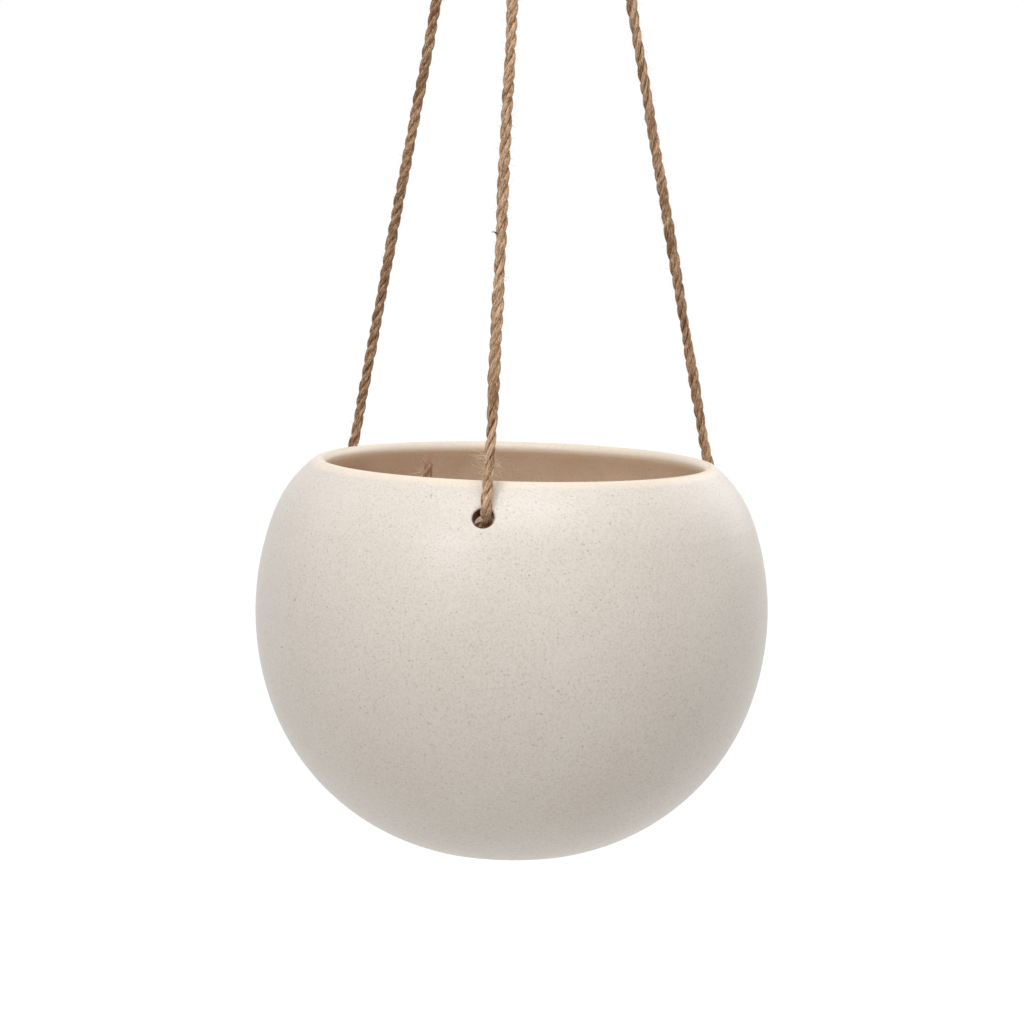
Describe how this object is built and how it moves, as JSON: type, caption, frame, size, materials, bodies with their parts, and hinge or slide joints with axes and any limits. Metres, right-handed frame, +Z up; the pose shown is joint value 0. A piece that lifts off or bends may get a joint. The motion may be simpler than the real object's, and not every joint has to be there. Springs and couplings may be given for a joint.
{
  "type": "hanging planter",
  "caption": "Round bellied stoneware plant pot hung from jute ropes that pass through holes in its shoulder, end in knots inside and loop over a steel hanging ring.",
  "frame": {"origin": "where a hook bears, at the inside top of the hanging ring", "axes": "+Z up along the line the planter hangs on, -Y towards the rope hole that faces the viewer, +X to the viewer's right in the plane of the ring"},
  "size_m": [0.19, 0.19, 0.5515],
  "materials": {
    "stoneware": "matte off-white glaze with fine brown and grey speckles",
    "jute": "natural three-strand twisted jute, hairy",
    "twine": "natural thin jute twine",
    "ring_steel": "plain steel wire, satin"
  },
  "bodies": {
    "ring": {"hanging_ring": "ring_steel"},
    "loops": {"loop_front": "jute", "loop_right": "jute", "loop_left": "jute", "binding": "twine"},
    "planter": {"pot": "stoneware", "rope_front": "jute", "rope_right": "jute", "rope_left": "jute", "knot_front": "jute", "knot_right": "jute", "knot_left": "jute"}
  },
  "joints": [
    {"name": "swing", "type": "hinge", "parent": "ring", "child": "loops", "pos_m": [0, 0, -0.03374], "axis": [1, 0, 0], "range_deg": [-30, 30]},
    {"name": "turn", "type": "hinge", "parent": "loops", "child": "planter", "pos_m": [0, 0, -0.06698], "axis": [0, 0, 1], "range_deg": [-90, 90]}
  ]
}
